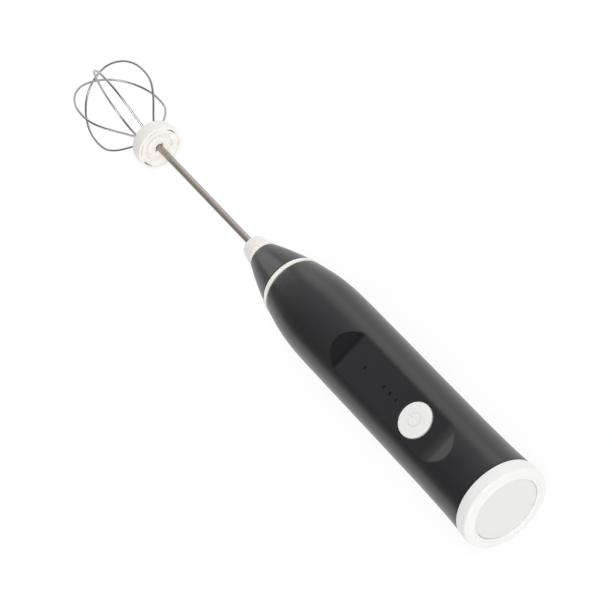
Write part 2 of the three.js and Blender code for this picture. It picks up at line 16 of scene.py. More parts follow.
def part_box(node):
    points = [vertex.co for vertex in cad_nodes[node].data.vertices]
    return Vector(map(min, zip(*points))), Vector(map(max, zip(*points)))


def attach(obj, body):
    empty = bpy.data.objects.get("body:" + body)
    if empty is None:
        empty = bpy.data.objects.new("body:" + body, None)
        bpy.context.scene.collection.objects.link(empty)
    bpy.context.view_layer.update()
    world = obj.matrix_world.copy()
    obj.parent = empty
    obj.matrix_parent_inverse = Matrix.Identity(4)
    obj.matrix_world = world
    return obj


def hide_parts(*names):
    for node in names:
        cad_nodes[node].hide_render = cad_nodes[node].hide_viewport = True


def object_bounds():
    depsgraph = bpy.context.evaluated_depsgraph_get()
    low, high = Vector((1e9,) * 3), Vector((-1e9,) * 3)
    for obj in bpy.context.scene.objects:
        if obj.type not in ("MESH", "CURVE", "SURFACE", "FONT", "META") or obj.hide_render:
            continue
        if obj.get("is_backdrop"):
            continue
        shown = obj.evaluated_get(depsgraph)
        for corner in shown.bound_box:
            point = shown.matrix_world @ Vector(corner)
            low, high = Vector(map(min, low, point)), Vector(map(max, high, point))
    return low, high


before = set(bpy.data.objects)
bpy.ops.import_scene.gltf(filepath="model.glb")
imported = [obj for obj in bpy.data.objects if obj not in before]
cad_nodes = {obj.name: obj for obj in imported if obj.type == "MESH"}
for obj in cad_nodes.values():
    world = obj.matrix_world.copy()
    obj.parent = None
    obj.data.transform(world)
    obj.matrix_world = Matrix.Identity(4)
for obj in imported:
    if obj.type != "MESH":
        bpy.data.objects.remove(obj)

cad_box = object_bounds()
print("nodes:", len(cad_nodes))

# %% [markdown]
# ## Places along the handle
#
# The frother lies on its back along Y. Its maker would give each place as a station, the distance
# in millimetres from the rim of the end cap, and each height from the long axis. One small
# function turns such a place into metres in the shared frame, so the drawing's numbers stay
# readable in every later cell.

# %% Stations and heights
MM = 0.001
cad_low, cad_high = cad_box
rod_low, rod_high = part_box("whisk_rod")
AXIS_HEIGHT = (rod_low.z + rod_high.z) / 2
START = cad_low.y


def at(across, station, height):
    """A point in metres: across the handle, along it from the end cap, and up from its axis."""
    return Vector((across * MM, START + station * MM, AXIS_HEIGHT + height * MM))


def station_of(metres):
    """The station, in millimetres, of a place along Y in metres."""
    return (metres - START) / MM


print(f"axis {AXIS_HEIGHT / MM:.2f} mm up, overall length {station_of(cad_high.y):.1f} mm")

# %% [markdown]
# ## The camera
#
# The frother is shown whole, from beyond its end cap and a little above, so that the handle runs
# away towards the whisk. The camera could follow a Track To constraint, but plain angles also
# give it the small roll that lays the handle across the frame. A long lens keeps the handle's
# sides almost parallel.

# %% Camera
CAMERA_PLACE = (0.067142, -0.560419, 0.655504)
CAMERA_ANGLES = (27.0668, 31.2879, -38.2344)
LENS_MM = 141.18

camera_data = bpy.data.cameras.new("product_camera")
camera_data.sensor_width = 36.0
camera_data.lens = LENS_MM
camera_data.clip_end = 20.0
camera = bpy.data.objects.new("product_camera", camera_data)
camera.location = CAMERA_PLACE
camera.rotation_euler = [math.radians(angle) for angle in CAMERA_ANGLES]
bpy.context.collection.objects.link(camera)
bpy.context.scene.camera = camera
print("camera distance:", round((camera.location - at(0, 140, 0)).length, 3), "m")

# %% [markdown]
# ## Node trees written as expressions
#
# Wiring nodes by hand hides the idea behind a finish. This class holds one socket, and plain
# arithmetic on it adds Math nodes, so a mask can be written as `1 - wear * 0.4`. Every other kind
# of node comes from one method, which sets the node's settings before it fills its sockets.

# %% Socket class
class Socket:
    """One output inside a node tree. Arithmetic on it adds Math nodes to the tree."""

    def __init__(self, tree, output=None):
        self.tree = tree
        self.output = output

    def node(self, kind, settings=None, values=None, output=0):
        """Adds a node: its settings, then the values or links of its sockets."""
        made = self.tree.nodes.new(kind)
        for name, setting in (settings or {}).items():
            if name == "stops":
                self.set_stops(made.color_ramp.elements, setting)
            else:
                setattr(made, name, setting)
        for name, value in (values or {}).items():
            if isinstance(value, Socket):
                self.tree.links.new(value.output, made.inputs[name])
            else:
                made.inputs[name].default_value = value
        return Socket(self.tree, made.outputs[output] if made.outputs else None)

    @staticmethod
    def set_stops(elements, stops):
        """Gives a ramp its stops, each a position and a colour."""
        while len(elements) < len(stops):
            elements.new(1.0)
        for element, (position, colour) in zip(elements, stops):
            element.position = position
            element.color = colour

    def math(self, operation, first, second=0.0):
        """Adds a Math node on two sockets or numbers."""
        return self.node("ShaderNodeMath", {"operation": operation}, {0: first, 1: second})

    def __add__(self, other):
        return self.math("ADD", self, other)

    __radd__ = __add__

    def __sub__(self, other):
        return self.math("SUBTRACT", self, other)

    def __rsub__(self, other):
        return self.math("SUBTRACT", other, self)

    def __mul__(self, other):
        return self.math("MULTIPLY", self, other)

    __rmul__ = __mul__

    def __truediv__(self, other):
        return self.math("DIVIDE", self, other)

    def __rtruediv__(self, other):
        return self.math("DIVIDE", other, self)

    def __abs__(self):
        return self.math("ABSOLUTE", self)


print("operators:", [name for name in vars(Socket) if name.startswith("__r")])

# %% [markdown]
# ## The parts that every finish shares
#
# Moulded plastic, drawn steel and circuit board differ in colour and gloss, but each one varies a
# little over its surface. Each finish could repeat its nodes, but a few helpers keep them alike:
# they read the place on the piece, spread noise over it at a size given in millimetres, and mix
# two colours by a mask. The place is the piece's own, so a finish moves with the piece.

# %% Finish helpers
FINISHES = {}


def surface_place(start):
    """The place on a piece, in metres, which stays with the piece when it moves."""
    return start.node("ShaderNodeTexCoord", output="Object")


def stretched(place, factors):
    """The place with each axis multiplied, for a grain that runs one way."""
    return place.node("ShaderNodeVectorMath", {"operation": "MULTIPLY"}, {0: place, 1: factors})


def grain(place, size, detail=3.0, rough=0.55):
    """Noise from 0 to 1 with patches of about the given size in millimetres."""
    values = {"Vector": place, "Scale": 1 / (size * MM), "Detail": detail, "Roughness": rough}
    return place.node("ShaderNodeTexNoise", {}, values)


def ramp(mask, *stops):
    """Turns a mask into greys or colours between the given stops."""
    full = [(position, (*colour, 1.0)) for position, colour in stops]
    return mask.node("ShaderNodeValToRGB", {"stops": full}, {"Fac": mask})


def band(mask, low, high):
    """A smooth step from 0 to 1 as the mask goes from low to high."""
    settings = {"interpolation_type": "SMOOTHSTEP"}
    values = {"Value": mask, "From Min": low, "From Max": high}
    return mask.node("ShaderNodeMapRange", settings, values)


def tinted(mask, first, second):
    """The first colour where the mask is 0 and the second where it is 1."""
    values = {0: mask, 6: (*first, 1.0), 7: (*second, 1.0)}
    return mask.node("ShaderNodeMix", {"data_type": "RGBA"}, values, output=2)


def relief(height, depth, strength=1.0):
    """A bump of the given depth in millimetres from a height between 0 and 1."""
    values = {"Strength": strength, "Distance": depth * MM, "Height": height}
    return height.node("ShaderNodeBump", {}, values)


def finish(name):
    """Decorator: makes a material from a function that returns the shader's socket values."""
    def wrap(recipe):
        material = bpy.data.materials.new(name)
        material.use_nodes = True
        material.node_tree.nodes.clear()
        start = Socket(material.node_tree)
        shader = start.node("ShaderNodeBsdfPrincipled", {}, recipe(start))
        start.node("ShaderNodeOutputMaterial", {}, {"Surface": shader})
        FINISHES[name] = material
        return recipe
    return wrap


print("finishes so far:", len(FINISHES))

# %% [markdown]
# ## Black moulded plastic
#
# The handle is injection-moulded ABS with a satin gloss. One dark colour would do from afar, but
# close by nothing in it would say plastic. A polished mould leaves a very slight orange peel, so
# a faint relief breaks up the reflections, and the gloss drifts a little where the plastic cooled
# at different speeds. A few fine specks of dust sit on any black shell.

# %% Black shell finish
SHELL_BLACK = (0.0075, 0.0078, 0.0088)
SHELL_DUST = (0.028, 0.028, 0.029)


@finish("black_abs")
def black_abs(start):
    """Satin black with a slow drift, a fine orange peel and a few specks."""
    place = surface_place(start)
    drift = grain(place, 24, detail=2.0)
    peel = grain(place, 0.55, detail=2.0)
    specks = band(grain(place, 0.7, detail=1.0), 0.79, 0.83)
    return {
        "Base Color": tinted(specks * 0.5 + drift * 0.2, SHELL_BLACK, SHELL_DUST),
        "Roughness": 0.25 + drift * 0.07 + specks * 0.2,
        "IOR": 1.5,
        "Normal": relief(peel, 0.004),
    }


print("black_abs:", len(FINISHES["black_abs"].node_tree.nodes), "nodes")

# %% [markdown]
# ## White moulded plastics
#
# The end cap is a clean white ABS with a smooth gloss. The trim ring, the nose cap and the whisk's
# hub are a warmer white. The disc in the end cap has a finer, duller spark-eroded texture, so it
# reads slightly greyer beside the cap. One white with three roughnesses would be simpler, but
# then the hub would look cold beside the steel.

# %% White finishes
@finish("white_abs")
def white_abs(start):
    """Clean glossy white for the end cap."""
    place = surface_place(start)
    drift = grain(place, 9, detail=2.0)
    peel = grain(place, 0.5, detail=2.0)
    return {
        "Base Color": tinted(drift, (0.86, 0.855, 0.835), (0.885, 0.88, 0.865)),
        "Roughness": 0.27 + drift * 0.08,
        "IOR": 1.49,
        "Normal": relief(peel, 0.003),
    }


@finish("warm_white")
def warm_white(start):
    """A warmer, softer white for the ring, nose cap and hub."""
    place = surface_place(start)
    drift = grain(place, 6, detail=2.0)
    peel = grain(place, 0.5, detail=2.0)
    return {
        "Base Color": tinted(drift, (0.90, 0.87, 0.80), (0.93, 0.905, 0.85)),
        "Roughness": 0.34 + drift * 0.1,
        "IOR": 1.49,
        "Normal": relief(peel, 0.003),
    }


@finish("white_satin")
def white_satin(start):
    """Spark-eroded, slightly grey white for the disc."""
    place = surface_place(start)
    drift = grain(place, 6, detail=2.0)
    texture = grain(place, 0.22, detail=3.0)
    return {
        "Base Color": tinted(drift, (0.76, 0.765, 0.745), (0.79, 0.79, 0.77)),
        "Roughness": 0.45 + texture * 0.16,
        "IOR": 1.49,
        "Normal": relief(texture, 0.012, 0.6),
    }


print("white finishes:", [name for name in FINISHES if "white" in name])

# %% [markdown]
# ## The button's mark
#
# The power button is white plastic with a faint grey mark printed on it: an open ring and a short
# bar. It could be cut into the mesh, but a print has no depth. So it is drawn with distances from
# the button's middle, as a printer's stencil would be: the ring is where the distance is close to
# one radius, and the bar is where the sideways distance is small.

# %% Button finish
button_low, button_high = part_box("power_button")
button_middle = (button_low + button_high) / 2
MARK_RADIUS = 2.35
MARK_STROKE = 0.24
BAR_MIDDLE = 2.1
BAR_HALF = 1.1


@finish("button_white")
def button_white(start):
    """Glossy white with a faint printed power mark."""
    place = surface_place(start)
    values = {0: place, 1: tuple(button_middle)}
    offset = place.node("ShaderNodeVectorMath", {"operation": "SUBTRACT"}, values)
    across = offset.node("ShaderNodeSeparateXYZ", {}, {0: offset}, output="X") / MM
    along = offset.node("ShaderNodeSeparateXYZ", {}, {0: offset}, output="Y") / MM
    squared = across * across + along * along
    distance = squared.math("SQRT", squared)
    ring = 1 - band(abs(distance - MARK_RADIUS), MARK_STROKE * 0.6, MARK_STROKE)
    beside = band(abs(across), 0.9, 1.0)
    behind = 1 - band(along, 0.0, 0.1)
    open_ring = ring * beside.math("MAXIMUM", beside, behind)
    bar_side = 1 - band(abs(across), MARK_STROKE * 0.6, MARK_STROKE)
    bar = bar_side * (1 - band(abs(along - BAR_MIDDLE), BAR_HALF, BAR_HALF + 0.1))
    mark = open_ring.math("MAXIMUM", open_ring, bar)
    drift = grain(place, 5, detail=2.0)
    peel = grain(place, 0.5, detail=2.0)
    return {
        "Base Color": tinted(mark * 0.55, (0.88, 0.875, 0.855), (0.60, 0.60, 0.59)),
        "Roughness": 0.28 + drift * 0.07 + mark * 0.1,
        "IOR": 1.49,
        "Normal": relief(peel, 0.003),
    }


print(f"button {2 * (button_high.x - button_middle.x) / MM:.1f} mm across its flange")

# %% [markdown]
# ## Steel, chrome and the other metals
#
# The rod is drawn stainless steel: the die leaves fine lines along its length. An anisotropic
# shader could spread its highlight, but real lines also change the colour, so the noise is
# stretched a hundredfold along Y and drives both colour and gloss. The whisk's wires are spring
# steel, smoother than the rod. The metals inside are turned brass, nickel strip, plated screws
# and enamelled copper, and one function makes the first three.

# %% Metal finishes
@finish("rod_steel")
def rod_steel(start):
    """Drawn steel with lines along its length and a light brown stain."""
    place = surface_place(start)
    lines = grain(stretched(place, (1.0, 0.008, 1.0)), 0.16, detail=4.0, rough=0.7)
    stain = grain(stretched(place, (1.0, 0.25, 1.0)), 3.5, detail=3.0)
    return {
        "Base Color": tinted(lines * 0.6 + stain * 0.4, (0.27, 0.235, 0.205), (0.52, 0.475, 0.43)),
        "Metallic": 1.0,
        "Roughness": 0.24 + lines * 0.22,
        "Normal": relief(lines, 0.01, 0.6),
    }


@finish("whisk_chrome")
def whisk_chrome(start):
    """Smooth spring steel for the loops."""
    place = surface_place(start)
    lines = grain(place, 2.2, detail=2.0)
    haze = grain(place, 6, detail=2.0)
    return {
        "Base Color": tinted(haze, (0.35, 0.34, 0.33), (0.48, 0.47, 0.455)),
        "Metallic": 1.0,
        "Roughness": 0.2 + haze * 0.06 + lines * 0.04,
        "Normal": relief(lines, 0.002, 0.3),
    }


def plain_metal(name, dark, light, rough, size):
    """A turned, stamped or plated metal: two close colours, and a gloss that wanders."""
    @finish(name)
    def metal(start):
        place = surface_place(start)
        patches = grain(place, size, detail=4.0, rough=0.65)
        return {
            "Base Color": tinted(patches, dark, light),
            "Metallic": 1.0,
            "Roughness": rough - 0.06 + patches * 0.14,
            "Normal": relief(patches, 0.01, 0.4),
        }


plain_metal("motor_plate", (0.46, 0.47, 0.47), (0.62, 0.62, 0.61), 0.34, 1.6)
plain_metal("port_plate", (0.55, 0.55, 0.56), (0.68, 0.68, 0.68), 0.25, 0.8)
plain_metal("turned_brass", (0.48, 0.33, 0.13), (0.66, 0.48, 0.22), 0.32, 0.9)
plain_metal("nickel_strip", (0.50, 0.48, 0.44), (0.64, 0.62, 0.57), 0.34, 0.7)
print("finishes so far:", ", ".join(FINISHES))

# %% [markdown]
# ## What is inside
#
# The handle opens into a frame that carries the cell, the motor and the circuit board. These
# pieces are hidden in use and could stay grey, but someone who takes the part apart sees them. So
# each gets what its maker would give it: tracks and fibre lines in the board, bundled turns on the
# armature, shrink-wrap on the cell, and matt rubber on the seal.

# %% Inner finishes
@finish("copper_turns")
def copper_turns(start):
    """Enamelled copper wound in even turns."""
    place = surface_place(start)
    settings = {"wave_type": "BANDS", "bands_direction": "Z"}
    values = {"Vector": place, "Scale": 900.0}
    turns = place.node("ShaderNodeTexWave", settings, values, output="Fac")
    patches = grain(place, 1.2)
    return {
        "Base Color": tinted(turns * 0.7 + patches * 0.3, (0.30, 0.10, 0.045), (0.72, 0.32, 0.16)),
        "Metallic": 0.9,
        "Roughness": 0.3 + patches * 0.16,
        "Normal": relief(turns, 0.04, 0.6),
    }


MASK_ON_COPPER = (0.03, 0.15, 0.06)
MASK_ON_GLASS = (0.012, 0.075, 0.032)


@finish("board_green")
def board_green(start):
    """Solder mask over copper tracks and woven glass."""
    place = surface_place(start)
    cells = {"Vector": place, "Scale": 520.0, "Randomness": 0.85}
    edges = place.node("ShaderNodeTexVoronoi", {"feature": "DISTANCE_TO_EDGE"}, cells)
    tracks = band(edges, 0.05, 0.09)
    fibre = grain(stretched(place, (1.0, 0.12, 1.0)), 0.2)
    return {
        "Base Color": tinted(tracks * 0.75 + fibre * 0.25, MASK_ON_COPPER, MASK_ON_GLASS),
        "Roughness": 0.32 + fibre * 0.16,
        "Normal": relief(tracks, 0.03, 0.5),
    }


@finish("cell_wrap")
def cell_wrap(start):
    """Blue shrink film, drawn tight along the cell."""
    place = surface_place(start)
    film = grain(stretched(place, (1.0, 0.3, 1.0)), 3.0)
    return {
        "Base Color": tinted(film, (0.02, 0.11, 0.22), (0.035, 0.16, 0.30)),
        "Roughness": 0.28 + film * 0.18,
        "Normal": relief(film, 0.03, 0.5),
    }


def plain_moulding(name, dark, light, rough, size, depth=0.01):
    """A moulded, pressed or sintered piece: two close tones and a fine texture."""
    @finish(name)
    def moulding(start):
        place = surface_place(start)
        drift = grain(place, size * 8, detail=2.0)
        texture = grain(place, size, detail=3.0)
        return {
            "Base Color": tinted(drift, dark, light),
            "Roughness": rough - 0.06 + texture * 0.14,
            "Normal": relief(texture, depth, 0.6),
        }


plain_moulding("frame_plastic", (0.085, 0.09, 0.095), (0.12, 0.125, 0.13), 0.55, 0.35)
plain_moulding("chip_epoxy", (0.010, 0.010, 0.011), (0.020, 0.020, 0.021), 0.50, 0.2)
plain_moulding("magnet_ferrite", (0.040, 0.040, 0.043), (0.062, 0.062, 0.064), 0.68, 0.3, 0.02)
plain_moulding("seal_rubber", (0.022, 0.022, 0.023), (0.034, 0.034, 0.035), 0.75, 0.3, 0.02)
plain_moulding("smoked_lens", (0.0015, 0.0015, 0.002), (0.003, 0.003, 0.003), 0.45, 0.4, 0.002)
plain_moulding("led_ceramic", (0.78, 0.76, 0.66), (0.86, 0.84, 0.76), 0.42, 0.2)
plain_moulding("lead_red", (0.33, 0.012, 0.010), (0.42, 0.020, 0.016), 0.42, 0.3)
plain_moulding("lead_black", (0.010, 0.010, 0.010), (0.018, 0.018, 0.018), 0.42, 0.3)
print("finishes:", len(FINISHES))

# %% [markdown]
# ## Turning profiles
#
# Almost every outside piece of the frother is round, so it could be turned on a lathe from a half
# profile. Blender's Screw modifier does that, but it leaves the corners knife-sharp. Here a
# profile is a list of points, each a radius and a station. Long curves get a smooth line through
# their points that never overshoots, and each corner is rounded a little, because a moulded edge
# always catches a thin line of light.

# %% Profile helpers
SOFT_TURN = math.radians(14)


def fair_curve(points, step):
    """A smooth line through [radius, station] points, monotone between each pair."""
    stations = [station for _, station in points]
    radii = [radius for radius, _ in points]
    gaps = [b - a for a, b in zip(stations, stations[1:])]
    slopes = [(b - a) / gap for a, b, gap in zip(radii, radii[1:], gaps)]
    tangents = [slopes[0]]
    for before, after in zip(slopes, slopes[1:]):
        level = before * after <= 0
        tangents.append(0.0 if level else 2 * before * after / (before + after))
    tangents.append(slopes[-1])
    line = []
    for index, gap in enumerate(gaps):
        count = max(1, round(abs(gap) / step))
        for part in range(count):
            t = part / count
            start_weight = (1 + 2 * t) * (1 - t) ** 2
            stop_weight = t * t * (3 - 2 * t)
            lean = gap * t * (1 - t) * ((1 - t) * tangents[index] - t * tangents[index + 1])
            radius = start_weight * radii[index] + stop_weight * radii[index + 1] + lean
            line.append((radius, stations[index] + t * gap))
    line.append((radii[-1], stations[-1]))
    return line


def rounded(profile, radius, steps=4):
    """The profile with each real corner replaced by a small curve."""
    points = [Vector(point) for point in profile]
    closed = points[0] == points[-1]
    if closed:
        points = points[:-1]
    result = [] if closed else [points[0]]
    last = len(points) if closed else len(points) - 1
    for index in range(0 if closed else 1, last):
        corner = points[index]
        before = points[index - 1] - corner
        after = points[(index + 1) % len(points)] - corner
        turn = math.pi - before.angle(after, math.pi)
        if turn < SOFT_TURN:
            result.append(corner)
            continue
        reach = min(radius, before.length * 0.45, after.length * 0.45)
        first = corner + before.normalized() * reach
        second = corner + after.normalized() * reach
        for part in range(steps + 1):
            t = part / steps
            result.append(first * (1 - t) ** 2 + corner * 2 * t * (1 - t) + second * t * t)
    result.append(result[0] if closed else points[-1])
    return [tuple(point) for point in result]


SQUARE = [(1, 0), (2, 0), (2, 1), (1, 1), (1, 0)]
print("points round a square with soft corners:", len(rounded(SQUARE, 0.2)) - 1)

# %% [markdown]
# ## From profile to piece
#
# A profile becomes a closed mesh of rings. A point on the axis becomes a single vertex, and a
# profile that returns to its start becomes a hollow ring. Holes and slots are cut afterwards
# with Boolean modifiers whose result is kept, and the tool bodies are thrown away.

# %% Mesh helpers
def along_axis(u, v, station):
    """Turning about the frother's long axis."""
    return at(u, station, v)


def upright_at(middle_station):
    """Turning about a vertical line through the handle's middle plane."""
    return lambda u, v, height: at(u, middle_station + v, height)


def turned(profile, sides=160, place=along_axis):
    """A closed mesh turned from a profile of [radius, distance] points."""
    shape = bmesh.new()
    closed = tuple(profile[0]) == tuple(profile[-1])
    angles = [2 * math.pi * side / sides for side in range(sides)]
    rings = []
    for radius, distance in profile[:-1] if closed else profile:
        if radius < 1e-6:
            rings.append([shape.verts.new(place(0, 0, distance))] * sides)
            continue
        spots = [place(radius * math.cos(a), radius * math.sin(a), distance) for a in angles]
        rings.append([shape.verts.new(spot) for spot in spots])
    pairs = list(zip(rings, rings[1:]))
    if closed:
        pairs.append((rings[-1], rings[0]))
    for near, far in pairs:
        for side in range(sides):
            after = (side + 1) % sides
            corners = dict.fromkeys((near[side], near[after], far[after], far[side]))
            if len(corners) > 2:
                shape.faces.new(list(corners))
    bmesh.ops.recalc_face_normals(shape, faces=shape.faces)
    return shape


def join(shape, loops):
    """Faces between each loop of vertices and the next."""
    for near, far in zip(loops, loops[1:]):
        for side in range(len(near)):
            after = (side + 1) % len(near)
            shape.faces.new((near[side], near[after], far[after], far[side]))


def close_ends(shape, loops):
    """Joins the loops, and closes the first and the last with a flat face."""
    join(shape, loops)
    shape.faces.new(loops[0])
    shape.faces.new(loops[-1])
    bmesh.ops.recalc_face_normals(shape, faces=shape.faces)


def loose(name, shape):
    """An object made from a bmesh, not yet part of the frother."""
    mesh = bpy.data.meshes.new(name)
    shape.to_mesh(mesh)
    shape.free()
    made = bpy.data.objects.new(name, mesh)
    bpy.context.collection.objects.link(made)
    return made


def cut(name, blank, tools):
    """The blank with every tool subtracted, as a new bmesh."""
    body = loose(name, blank)
    cutters = [loose(f"{name}_tool", tool) for tool in tools]
    for cutter in cutters:
        modifier = body.modifiers.new("cut", "BOOLEAN")
        modifier.operation = "DIFFERENCE"
        modifier.solver = "EXACT"
        modifier.object = cutter
    shown = body.evaluated_get(bpy.context.evaluated_depsgraph_get())
    result = bmesh.new()
    result.from_mesh(shown.to_mesh())
    shown.to_mesh_clear()
    for used in (body, *cutters):
        mesh = used.data
        bpy.data.objects.remove(used)
        bpy.data.meshes.remove(mesh)
    return result


def fit(name, shape, body, surface, slot, *nodes, crease=32):
    """Makes a shape a piece of the frother that stands for its packed nodes."""
    made = loose(name, shape)
    made.data.shade_smooth()
    made.data.set_sharp_from_angle(angle=math.radians(crease))
    made.data.materials.append(FINISHES[surface])
    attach(made, body)
    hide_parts(*nodes)
    print(f"{name}: {len(made.data.polygons)} faces, {made.dimensions.y / MM:.1f} mm long")
    return made


# %% [markdown]
# ## The handle's barrel
#
# The barrel is a hollow moulding with a flat-floored recess across its top for the button and
# lights. A plain Boolean would leave knife edges there, and a bevel over a curved cut breaks
# easily. So the barrel is built from cross-sections instead: each one is an arc closed by a flat
# where the recess is, with a small curve between the two. The flat shrinks to nothing as the
# sloped ends of the recess run out, which gives the two crescents their exact shape.

# %% Barrel sections
BARREL = [
    (15.8, 5.75), (15.35, 15), (15.1, 32), (15.2, 98), (15.05, 107),
    (14.7, 112.7), (14.05, 118.0), (13.1, 123.4), (12.2, 127.55),
]
BORE = [
    (9.9, 127.55), (10.8, 124), (12.0, 118.3), (12.7, 112.7), (13.1, 106), (13.1, 91.05),
    (13.1, 90.95), (13.1, 18.05), (13.1, 17.95), (13.1, 12.2), (13.4, 12.1), (13.4, 5.625),
]
PANEL_HEIGHT = 13.0
PANEL_ENDS = (27.9, 81.3)
PANEL_SLOPES = (2.1 / 6.8, 2.1 / 5.6)
CEILING_HEIGHT = 11.48
CEILING_ENDS = (18.0, 91.0)
NO_FLAT = 20.0
EDGE_ROUNDING = 2.2
HOLLOW_BLENDS = (2.6, 1.4)


def past(distance, slope, blend):
    """Height gained on a slope past its foot, with a small hollow curve at the foot."""
    if distance <= -blend:
        return 0.0
    if distance >= blend:
        return slope * distance
    return slope * (distance + blend) ** 2 / (4 * blend)


def floor_height(station):
    """Height of the recess at a station: flat in the middle, sloped up at both ends."""
    near = past(PANEL_ENDS[0] - station, PANEL_SLOPES[0], HOLLOW_BLENDS[0])
    far = past(station - PANEL_ENDS[1], PANEL_SLOPES[1], HOLLOW_BLENDS[1])
    return PANEL_HEIGHT + near + far


def section(radius, flat, flat_steps=16, edge_steps=6, arc_steps=150):
    """One cross-section as (across, height) points, clockwise from the flat's left end."""
    half = math.acos(min(1.0, flat / radius))
    trim = EDGE_ROUNDING * math.tan(half / 2)
    reach = radius * math.sin(half)
    height = radius * math.cos(half)
    inner = max(0.0, reach - trim)
    start = half + trim / radius
    arc_end = (radius * math.sin(start), radius * math.cos(start))
    points = [(-inner + 2 * inner * part / flat_steps, height) for part in range(flat_steps + 1)]
    edge = []
    for part in range(1, edge_steps):
        t = part / edge_steps
        weights = ((1 - t) ** 2, 2 * t * (1 - t), t * t)
        across = weights[0] * inner + weights[1] * reach + weights[2] * arc_end[0]
        up = weights[0] * height + weights[1] * height + weights[2] * arc_end[1]
        edge.append((across, up))
    points += edge
    for part in range(arc_steps + 1):
        angle = start + (2 * math.pi - 2 * start) * part / arc_steps
        points.append((radius * math.sin(angle), radius * math.cos(angle)))
    return points + [(-across, up) for across, up in reversed(edge)]


print("points in one section:", len(section(15.1, PANEL_HEIGHT)))

# %% [markdown]
# ## The barrel's wall
#
# The outside sections run from the end cap to the nose, closely spaced over the sloped ends, and
# the inside sections run back again through the bore. A Solidify modifier could thicken a skin,
# but the bore isn't parallel to the outside. Joining each section to the next closes the wall.

# %% Barrel wall
def spread(start, stop, step):
    """Even stations from start up to, but not including, stop."""
    count = max(1, round((stop - start) / step))
    return [start + (stop - start) * part / count for part in range(count)]


def barrel_sections():
    """Stations, radii and flat heights, along the outside and back through the bore."""
    line = fair_curve(BARREL, 0.05)
    stations = spread(5.95, 19.8, 1.0) + spread(19.8, 30.6, 0.16) + spread(30.6, 79.6, 1.2)
    stations += spread(79.6, 88.4, 0.14) + spread(88.4, 127.35, 0.8)
    rows = [(5.625, 15.5, NO_FLAT), (5.66, 15.68, NO_FLAT), (5.77, 15.78, NO_FLAT)]
    for station in stations:
        radius, _ = min(line, key=lambda point: abs(point[1] - station))
        rows.append((station, radius, floor_height(station)))
    rows += [(127.35, 12.22, NO_FLAT), (127.5, 12.14, NO_FLAT), (127.55, 12.0, NO_FLAT)]
    for radius, station in BORE:
        under = CEILING_ENDS[0] < station < CEILING_ENDS[1]
        rows.append((station, radius, CEILING_HEIGHT if under else NO_FLAT))
    return rows


def barrel_blank():
    """The barrel's closed wall, before its holes are cut."""
    shape = bmesh.new()
    loops = []
    for station, radius, flat in barrel_sections():
        loops.append([shape.verts.new(at(x, station, z)) for x, z in section(radius, flat)])
    join(shape, loops + loops[:1])
    bmesh.ops.remove_doubles(shape, verts=shape.verts, dist=0.002 * MM)
    bmesh.ops.recalc_face_normals(shape, faces=shape.faces)
    return shape


print("sections in the wall:", len(barrel_sections()))

# %% [markdown]
# ## Holes in the barrel
#
# The button, the four lights and the charging socket each pass through the wall, and a moulder
# gives every opening a small chamfer at its mouth. Pins in the mould make these holes, so drills
# and a round-ended slot are taken away from the wall here, where Booleans leave clean edges.

# %% Hole tools
BUTTON_STATION = station_of(button_middle.y)
LIGHTS = [station_of(sum(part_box(f"light_guide_{n}"), Vector()).y / 2) for n in (1, 2, 3, 4)]
PORT_STATION = station_of(sum(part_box("charge_port"), Vector()).y / 2)
BUTTON_HOLE = 6.65
LIGHT_HOLE = 0.62
PORT_MOUTH = -15.35


def hole_tool(radius, mouth, bevel, middle_station, sides=96):
    """A drill with a countersink that opens at the mouth's height."""
    profile = [
        (0, CEILING_HEIGHT - 1), (radius, CEILING_HEIGHT - 1), (radius, mouth - bevel),
        (radius + bevel, mouth), (radius + 2 * bevel, mouth + bevel), (0, mouth + bevel),
    ]
    return turned(profile, sides, upright_at(middle_station))


def slot_body(levels, middle_station, steps=24):
    """A round-ended upright slot from (height, width, depth) levels, long side across."""
    shape = bmesh.new()
    loops = []
    for height, width, depth in levels:
        radius, reach = depth / 2, (width - depth) / 2
        loop = []
        for side in (1, -1):
            for part in range(steps + 1):
                angle = math.pi * (part / steps - 0.5)
                across = side * (reach + radius * math.cos(angle))
                along = side * radius * math.sin(angle)
                loop.append(shape.verts.new(at(across, middle_station + along, height)))
        loops.append(loop)
    close_ends(shape, loops)
    return shape


print("light stations:", [round(station, 1) for station in LIGHTS])

# %% [markdown]
# ## The finished barrel
#
# Each drill stops inside the wall's hollow, so none of them reaches the underside. All the tools
# are taken away from the blank in one go, because every Boolean costs a moment. The charging
# socket's slot gets a wider mouth below the surface, which leaves the chamfer round it.

# %% Barrel with its holes
port_levels = [
    (PORT_MOUTH - 1.5, 10.6, 4.9), (PORT_MOUTH, 10.0, 4.3), (PORT_MOUTH + 0.35, 9.4, 3.7),
    (-11, 9.4, 3.7),
]
barrel = cut("barrel", barrel_blank(), [
    hole_tool(BUTTON_HOLE, PANEL_HEIGHT, 0.1, BUTTON_STATION),
    *(hole_tool(LIGHT_HOLE, PANEL_HEIGHT, 0.06, station, 32) for station in LIGHTS),
    slot_body(port_levels, PORT_STATION),
])
fit("barrel", barrel, "handle", "black_abs", "black_shell", "main_housing", crease=28)

# %% [markdown]
# ## The end of the handle
#
# The white end cap is a short cup pressed into the barrel. Its face has a flat border, a thin
# raised rim, and a shallow well that holds a separate satin disc. A disc drawn only as a colour
# would miss the step, so both pieces are turned. The disc lies a little below the rim, and the
# rim throws a soft shade round its edge.

